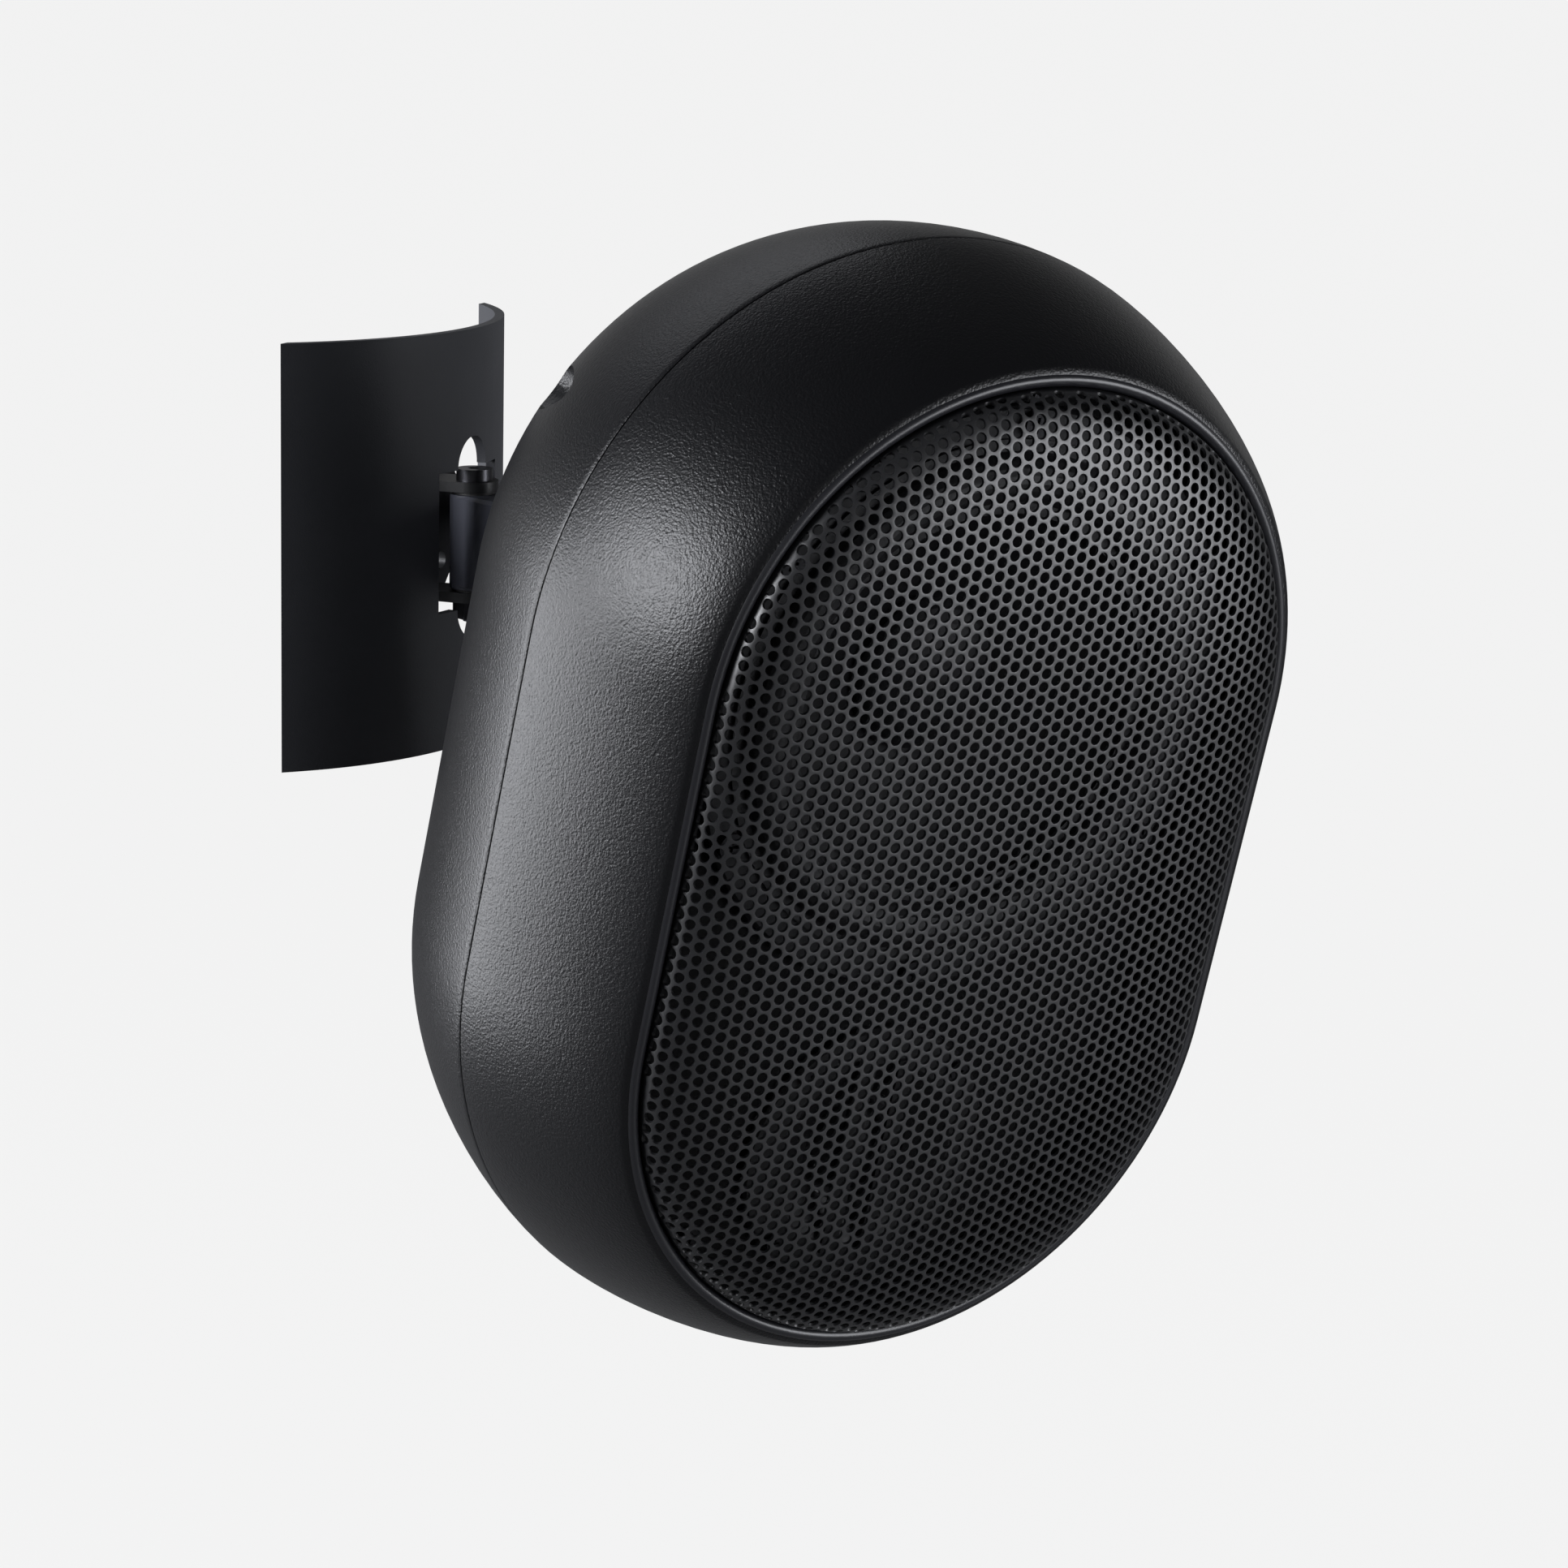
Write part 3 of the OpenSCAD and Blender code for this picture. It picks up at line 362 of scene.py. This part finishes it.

# %% [markdown]
# The two shells and the bead are moulded in the same plastic. The shells have a fine
# leather grain, which photographs as a soft sparkle in the highlight. It is made of
# two sizes of rounded cells: small pebbles, and larger soft swellings under them.
# The bead's colour is painted lighter than the shells', a painted sheen that stands in
# for the light its smooth, round surface reflects.

# %% The grained plastic of the shells
def shell_finish():
    made = finish("shell_plastic", (0.0035, 0.0036, 0.0043), 0.33, vary=0.1, specular=0.26)
    nodes, links = made.node_tree.nodes, made.node_tree.links
    place = next(n for n in nodes if n.type == "MAPPING")
    shader = next(n for n in nodes if n.type == "BSDF_PRINCIPLED")
    pebbles = nodes.new("ShaderNodeTexVoronoi")
    pebbles.feature = "SMOOTH_F1"
    pebbles.inputs["Scale"].default_value = 1900
    links.new(place.outputs[0], pebbles.inputs["Vector"])
    swell = nodes.new("ShaderNodeTexNoise")
    swell.inputs["Scale"].default_value = 1150
    swell.inputs["Detail"].default_value = 3
    links.new(place.outputs[0], swell.inputs["Vector"])
    coarse = nodes.new("ShaderNodeBump")
    coarse.inputs["Strength"].default_value = 0.65
    coarse.inputs["Distance"].default_value = 0.0002
    links.new(swell.outputs["Fac"], coarse.inputs["Height"])
    small = nodes.new("ShaderNodeBump")
    small.invert = True
    small.inputs["Strength"].default_value = 0.5
    small.inputs["Distance"].default_value = 0.00015
    links.new(pebbles.outputs["Distance"], small.inputs["Height"])
    links.new(coarse.outputs["Normal"], small.inputs["Normal"])
    links.new(small.outputs["Normal"], shader.inputs["Normal"])
    return made


SHELL_PLASTIC = shell_finish()
# The bead is the shells' plastic with a smoother gloss. Its colour is painted lighter than the shells' as painted
# sheen for the light its round surface reflects.
LIP_PLASTIC_PAINTED_SHEEN = finish("lip_plastic_painted_sheen", (0.012, 0.0122, 0.0145), 0.34, grain=0.0006, bump=0.1,
                     specular=0.38)
GRILLE_PAINT = finish("grille_paint", (0.0085, 0.0087, 0.0098), 0.42, grain=0.0006, bump=0.1,
                      specular=0.6)

# %% [markdown]
# ## Sweeping a profile round the capsule
#
# A capsule is a half turn, a straight run, another half turn and another straight
# run. The profile is drawn once, as a chain of edges at the right end, and Spin and
# Extrude carry it round. Merging the doubles closes the loop where it meets its start.

# %% Shape helpers
TURN_STEPS = 72


def capsule(profile, closed=False, steps=TURN_STEPS):
    """A mesh swept round the capsule from a chain of (radius, depth) points."""
    bm = bmesh.new()
    chain = [bm.verts.new((r, y, HALF)) for r, y in profile]
    edges = [bm.edges.new(pair) for pair in zip(chain, chain[1:])]
    if closed:
        edges.append(bm.edges.new((chain[-1], chain[0])))
    for side in (1, -1):
        turned = bmesh.ops.spin(bm, geom=edges, cent=(0, 0, side * HALF), axis=(0, 1, 0),
                                angle=-math.pi, steps=steps, use_duplicate=False)
        last = [e for e in turned["geom_last"] if isinstance(e, bmesh.types.BMEdge)]
        run = bmesh.ops.extrude_edge_only(bm, edges=last)["geom"]
        moved = [v for v in run if isinstance(v, bmesh.types.BMVert)]
        bmesh.ops.translate(bm, verts=moved, vec=(0, 0, -2 * side * HALF))
        ends = set(moved)
        edges = [e for e in run if isinstance(e, bmesh.types.BMEdge) and set(e.verts) <= ends]
    bmesh.ops.remove_doubles(bm, verts=bm.verts, dist=0.001)
    return bm


def finish_piece(bm, name, material, replaced=(), body="speaker", place=CABINET,
                 recalc=True, smooth_angle=35):
    """Turns a bmesh into a piece in its place, with its normals outwards."""
    if recalc:
        bmesh.ops.recalc_face_normals(bm, faces=bm.faces)
    bmesh.ops.transform(bm, matrix=place, verts=bm.verts)
    for face in bm.faces:
        face.smooth = True
    for edge in bm.edges:
        if len(edge.link_faces) == 2 and edge.calc_face_angle(0) > math.radians(smooth_angle):
            edge.smooth = False
    mesh = bpy.data.meshes.new(name)
    bm.to_mesh(mesh)
    bm.free()
    mesh.materials.append(material)
    piece = bpy.data.objects.new(name, mesh)
    scene.collection.objects.link(piece)
    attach(piece, body)
    if replaced:
        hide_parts(*replaced)
    print(name, len(mesh.polygons), "faces")
    return piece

# %% [markdown]
# ## Front shell
#
# The front shell flares from the bead around the grille to the seam. Its profile is a
# smooth curve, close to a quarter of a rounded square, that leaves the seam almost
# square to it. The real one is moulded in one piece with the smooth bead, so the bead
# is part of the same profile and only its finish differs. The bead's lighter colour is
# painted sheen for the light that its round, smooth surface reflects.

# %% Front shell
FRONT_CURVE = 1.4


def front_radius(y):
    flare = (1 - (1 - y / SEAM_Y) ** FRONT_CURVE) ** (1 / FRONT_CURVE)
    return RIM_R + (SEAM_R - RIM_R) * flare


WALL = 4
FRONT_STEPS = 28
LEDGE_Y = 25
LEDGE_END = 29
LEDGE_R = LIP_R - 10
BEAD_W = 3.2
BEAD_DEPTH = 2.3
outer = [(front_radius(y), y) for y in
         (SEAM_Y * (i / FRONT_STEPS) ** 1.7 for i in range(2, FRONT_STEPS))]
outer = [p for p in outer if 1.1 < p[1] < SEAM_Y - 0.9]
seam_edge = [(SEAM_R - 0.02, SEAM_Y - 0.4), (SEAM_R - 0.12, SEAM_Y - 0.24),
             (SEAM_R - 0.35, SEAM_Y - 0.18), (SEAM_R - 1.2, SEAM_Y - 0.15),
             (SEAM_R - 1.25, SEAM_Y - 0.5)]
inner = [(front_radius(y) - WALL, y) for y in (SEAM_Y - 0.5, 46, 40, 34, LEDGE_END)]
bead = [(LIP_R, LEDGE_Y), (LIP_R, 2.0), (LIP_R + 0.15, 1.2), (LIP_R + 0.55, 0.55),
        (LIP_R + 1.2, 0.12), (LIP_R + 1.9, 0.0), (LIP_R + 2.5, 0.12), (LIP_R + 2.95, 0.42),
        (LIP_R + BEAD_W, 0.85)]
profile = bead + outer + seam_edge + inner + [(LEDGE_R, LEDGE_END), (LEDGE_R, LEDGE_Y)]
bm = capsule(profile, closed=True)
front_shell = finish_piece(bm, "front_shell_smooth", SHELL_PLASTIC,
                           ["front_shell"])
# The faces of the bead get the lighter plastic with its painted sheen.
front_shell.data.materials.append(LIP_PLASTIC_PAINTED_SHEEN)
to_local = CABINET.inverted()
for face in front_shell.data.polygons:
    x, y, z = to_local @ face.center
    if y < BEAD_DEPTH and math.hypot(x, max(0, abs(z) - HALF)) < LIP_R + BEAD_W:
        face.material_index = 1

# %% [markdown]
# ## Rear shell
#
# The rear shell is nearly a quarter ellipse that ends in a flat back. Four screw
# wells are sunk into its curve and a round recess holds the terminals. The wells are
# drilled with Boolean, as a mould's core pins would leave them, and the two flat
# caps are made by filling the open loops of the profile.

# %% Rear shell
REAR_CURVE = 1.85


def rear_radius(y, height, end_r, mouth_r):
    swell = max(0.0, 1 - (y / height) ** REAR_CURVE) ** (1 / REAR_CURVE)
    return end_r + (mouth_r - end_r) * swell


def rear_curve(wall, steps):
    points = []
    for i in range(steps + 1):
        y = (REAR_H - wall) * math.sin(math.pi / 2 * i / steps) ** (2 / REAR_CURVE)
        r = rear_radius(y, REAR_H - wall, REAR_R - wall, SEAM_R - wall)
        points.append((r, SEAM_Y + y))
    return points


outside = [(SEAM_R - 1.25, SEAM_Y + 0.5), (SEAM_R - 1.2, SEAM_Y + 0.15),
           (SEAM_R - 0.35, SEAM_Y + 0.18), (SEAM_R - 0.12, SEAM_Y + 0.24),
           (SEAM_R - 0.02, SEAM_Y + 0.4)]
outside += [p for p in rear_curve(0, 36) if p[1] > SEAM_Y + 1]
inside = [p for p in rear_curve(WALL, 16) if p[1] > SEAM_Y + 0.6]
profile = inside[::-1] + [(SEAM_R - WALL, SEAM_Y + 0.5)] + outside
bm = capsule(profile)
bmesh.ops.holes_fill(bm, edges=[e for e in bm.edges if e.is_boundary], sides=0)
bmesh.ops.recalc_face_normals(bm, faces=bm.faces)
print("plain rear shell:", len(bm.faces), "faces")

# %% [markdown]
# Each well needs a wall of its own, or it would open into the cabinet. So a plug is
# joined to the shell first, cut flush with the outside, and then drilled. The same
# three steps make the round recess for the terminals.

# %% Wells and terminal recess
WELL_R = 6.8
WELL_X, WELL_Z = 79.3, 90.7
WELL_FLOOR = 74
RECESS_R, RECESS_Z, RECESS_DEEP = 26, -70, 12
RECESS_STEPS = 72
FLOOR_T = 3


def cylinder(r, x, z, y0, y1, steps=48):
    bm = bmesh.new()
    bmesh.ops.create_cone(bm, cap_ends=True, segments=steps, radius1=r, radius2=r, depth=y1 - y0)
    bmesh.ops.rotate(bm, verts=bm.verts, matrix=Matrix.Rotation(math.pi / 2, 3, "X"))
    bmesh.ops.translate(bm, verts=bm.verts, vec=(x, (y0 + y1) / 2, z))
    return bm


def combine(bm, tools, operation):
    """Joins, cuts or trims a mesh by others, with the Boolean modifier."""
    both = []
    for n, part in enumerate([bm, *tools]):
        mesh = bpy.data.meshes.new("part_" + str(n))
        part.to_mesh(mesh)
        part.free()
        both.append(bpy.data.objects.new(mesh.name, mesh))
        scene.collection.objects.link(both[-1])
    for tool in both[1:]:
        step = both[0].modifiers.new("step", "BOOLEAN")
        step.object, step.operation, step.solver = tool, operation, "EXACT"
    made = bmesh.new()
    made.from_object(both[0], bpy.context.evaluated_depsgraph_get())
    for piece in both:
        bpy.data.objects.remove(piece)
    return made


WELLS = [(x, z) for x in (-WELL_X, WELL_X) for z in (-WELL_Z, WELL_Z)]
plugs = [cylinder(WELL_R + 2, x, z, WELL_FLOOR - FLOOR_T, BACK_Y) for x, z in WELLS]
plugs.append(cylinder(RECESS_R + FLOOR_T, 0, RECESS_Z, BACK_Y - RECESS_DEEP - FLOOR_T,
                      BACK_Y + 1, RECESS_STEPS))
whole = capsule([(SEAM_R - 3, SEAM_Y + 0.5)] + outside)
bmesh.ops.holes_fill(whole, edges=[e for e in whole.edges if e.is_boundary], sides=0)
bmesh.ops.recalc_face_normals(whole, faces=whole.faces)
bm = combine(bm, plugs, "UNION")
bm = combine(bm, [whole], "INTERSECT")
drills = [cylinder(WELL_R, x, z, WELL_FLOOR, BACK_Y + 9) for x, z in WELLS]
drills.append(cylinder(RECESS_R, 0, RECESS_Z, BACK_Y - RECESS_DEEP, BACK_Y + 9,
                       RECESS_STEPS))
bm = combine(bm, drills, "DIFFERENCE")
finish_piece(bm, "rear_shell_smooth", SHELL_PLASTIC, ["rear_shell"])

# %% [markdown]
# ## Perforated grille
#
# The grille is one sheet of steel, punched with staggered round holes while flat and
# then pressed into a dome. It is made in the same order here. A single cell, a hole
# inside its share of the sheet, is a circle whose edge is extruded once outwards to
# the hexagon between the holes and once down to make the wall of the hole. Copies of
# the cell are laid out, their shared borders merged, and a plain margin fills the
# rest up to the rim. Then every point is moved on to the dome. A texture with holes
# would be lighter, but only real holes show their lit walls and the drivers behind.
# The holes narrow a little towards the back, so that more of each wall is lit.

# %% One cell of the sheet
COLUMN = 3.30
PITCH = 3.47
HOLE_R = 1.42
HOLE_BACK_R = 1.27
SHEET = 0.75
RIDGE = 0.05
HOLE_SIDES = 12
CORNER = math.pi / 6


def hole_cell():
    bm = bmesh.new()
    hole = bmesh.ops.create_circle(bm, segments=HOLE_SIDES, radius=HOLE_R)["verts"]
    bmesh.ops.rotate(bm, verts=hole, matrix=Matrix.Rotation(math.pi / 2, 3, "X"))
    edges = list(bm.edges)
    border = bmesh.ops.extrude_edge_only(bm, edges=edges)["geom"]
    border = [v for v in border if isinstance(v, bmesh.types.BMVert)]
    across = COLUMN / (PITCH * math.sin(math.pi / 3))
    for v in border:
        step = round(math.atan2(v.co.z, v.co.x) / CORNER)
        reach = PITCH / 2 if step % 2 else PITCH / math.sqrt(3)
        v.co = (reach * math.cos(step * CORNER) * across, -RIDGE, reach * math.sin(step * CORNER))
    wall = bmesh.ops.extrude_edge_only(bm, edges=edges)["geom"]
    wall = [v for v in wall if isinstance(v, bmesh.types.BMVert)]
    bmesh.ops.scale(bm, verts=wall, vec=(HOLE_BACK_R / HOLE_R, 1, HOLE_BACK_R / HOLE_R))
    bmesh.ops.translate(bm, verts=wall, vec=(0, SHEET, 0))
    return bm


# %% [markdown]
# The dome's profile is a superellipse, flat in the middle and rounding down at the
# rim. Its arc length says how far from the middle line a flat point lands, so the
# holes keep their size on the slope, as they do when a sheet is pressed.

# %% The dome's profile by arc length
DOME_R = 82.7
DOME_H = 13
DOME_FOOT = 1.3
DOME_CURVE = 2.6
SKIRT = 2
ARC_STEPS = 400

arc = []
length = 0.0
rise = DOME_H + DOME_FOOT
previous = (0.0, -DOME_H)
for i in range(ARC_STEPS + 1):
    a = math.pi / 2 * (1 - i / ARC_STEPS)
    point = (DOME_R * math.cos(a) ** (2 / DOME_CURVE),
             DOME_FOOT - rise * math.sin(a) ** (2 / DOME_CURVE))
    length += math.dist(point, previous)
    arc.append((length, *point))
    previous = point
RIM_LENGTH = length
print("the sheet reaches", round(RIM_LENGTH, 1), "mm from its middle line")


def on_dome(s, depth):
    """Radius and depth on the dome of a point s along its arc, and depth below the skin."""
    if s >= RIM_LENGTH:
        return DOME_R - depth, DOME_FOOT + s - RIM_LENGTH
    low, high = 0, len(arc) - 1
    while high - low > 1:
        middle = (low + high) // 2
        if arc[middle][0] > s:
            high = middle
        else:
            low = middle
    (s0, r0, y0), (s1, r1, y1) = arc[low], arc[high]
    t = (s - s0) / max(s1 - s0, 1e-9)
    slope = Vector((r1 - r0, y1 - y0)).normalized()
    return r0 + (r1 - r0) * t - slope.y * depth, y0 + (y1 - y0) * t + slope.x * depth


# %% Lay out the cells
FIELD = RIM_LENGTH - 0.3
LAST_HOLE = FIELD - 1.1
COLUMNS, ROWS = 30, 42
cell = hole_cell()
cell_mesh = bpy.data.meshes.new("cell")
cell.to_mesh(cell_mesh)
cell.free()
column_mesh = bpy.data.meshes.new("column")
bm = bmesh.new()
holes = 0
for column in range(-COLUMNS, COLUMNS + 1):
    x = column * COLUMN
    strip = bmesh.new()
    for row in range(-ROWS, ROWS + 1):
        z = (row + (column % 2) / 2) * PITCH
        if math.hypot(x, max(0, abs(z) - HALF)) > LAST_HOLE:
            continue
        known = len(strip.verts)
        strip.from_mesh(cell_mesh)
        strip.verts.ensure_lookup_table()
        bmesh.ops.translate(strip, verts=strip.verts[known:], vec=(x, 0, z))
        holes += 1
    strip.to_mesh(column_mesh)
    strip.free()
    bm.from_mesh(column_mesh)
bmesh.ops.remove_doubles(bm, verts=bm.verts, dist=0.02)
print(holes, "holes,", len(bm.faces), "faces")

# %% [markdown]
# A sheet is cut to its outline after it is punched, so the outline runs through some
# of the holes. Points beyond the outline are drawn back on to it. The walls of the
# holes stop a little earlier, which leaves the thin rib that the cut edge shows.

# %% Close the margin and press the dome
SKIN_END, WALL_END = FIELD - 0.35, FIELD - 0.75
RIM_TURN_STEPS, RIM_RUN_STEPS = 90, 24


def at_reach(v, s):
    """Moves a point of the flat sheet straight out from its middle line to a distance s."""
    end = max(-HALF, min(HALF, v.co.z))
    away = Vector((v.co.x, v.co.z - end)).normalized() * s
    v.co.x, v.co.z = away.x, end + away.y


for v in bm.verts:
    most = SKIN_END if v.co.y < 0 else WALL_END
    if math.hypot(v.co.x, max(0, abs(v.co.z) - HALF)) > most:
        at_reach(v, most)
ragged = [e for e in bm.edges if e.is_boundary and all(v.co.y < 0 for v in e.verts)]
start = bm.verts.new((FIELD, -RIDGE, HALF))
for side in (1, -1):
    turned = bmesh.ops.spin(bm, geom=[start], cent=(0, 0, side * HALF), axis=(0, 1, 0),
                            angle=-math.pi, steps=RIM_TURN_STEPS,
                            use_duplicate=False)
    start = next(v for v in turned["geom_last"] if isinstance(v, bmesh.types.BMVert))
    for _ in range(RIM_RUN_STEPS):
        run = bmesh.ops.extrude_vert_indiv(bm, verts=[start])
        start = run["verts"][0]
        bmesh.ops.translate(bm, verts=[start], vec=(0, 0, -2 * side * HALF / RIM_RUN_STEPS))
bmesh.ops.remove_doubles(bm, verts=[v for v in bm.verts if not v.link_faces], dist=0.01)
ring = [e for e in bm.edges if not e.link_faces]
bmesh.ops.triangle_fill(bm, edges=ragged + ring, use_beauty=True)
for s in (RIM_LENGTH, RIM_LENGTH + 0.6, RIM_LENGTH + SKIRT):
    run = bmesh.ops.extrude_edge_only(bm, edges=ring)["geom"]
    moved = [v for v in run if isinstance(v, bmesh.types.BMVert)]
    for v in moved:
        at_reach(v, s)
        v.co.y = 0
    ends = set(moved)
    ring = [e for e in run if isinstance(e, bmesh.types.BMEdge) and set(e.verts) <= ends]
for v in bm.verts:
    end = max(-HALF, min(HALF, v.co.z))
    away = Vector((v.co.x, v.co.z - end))
    r, y = on_dome(away.length, v.co.y)
    away = away.normalized() * r if away.length > 1e-6 else away
    v.co = (away.x, y, end + away.y)
bmesh.ops.recalc_face_normals(bm, faces=bm.faces)
middle = min(bm.faces, key=lambda f: f.calc_center_median().y)
if middle.normal.y > 0:
    bmesh.ops.reverse_faces(bm, faces=bm.faces)
grille_sheet = finish_piece(bm, "grille_sheet", GRILLE_PAINT, ["grille"],
                            recalc=False, smooth_angle=50)
print("triangles:", sum(len(f.vertices) - 2 for f in grille_sheet.data.polygons))
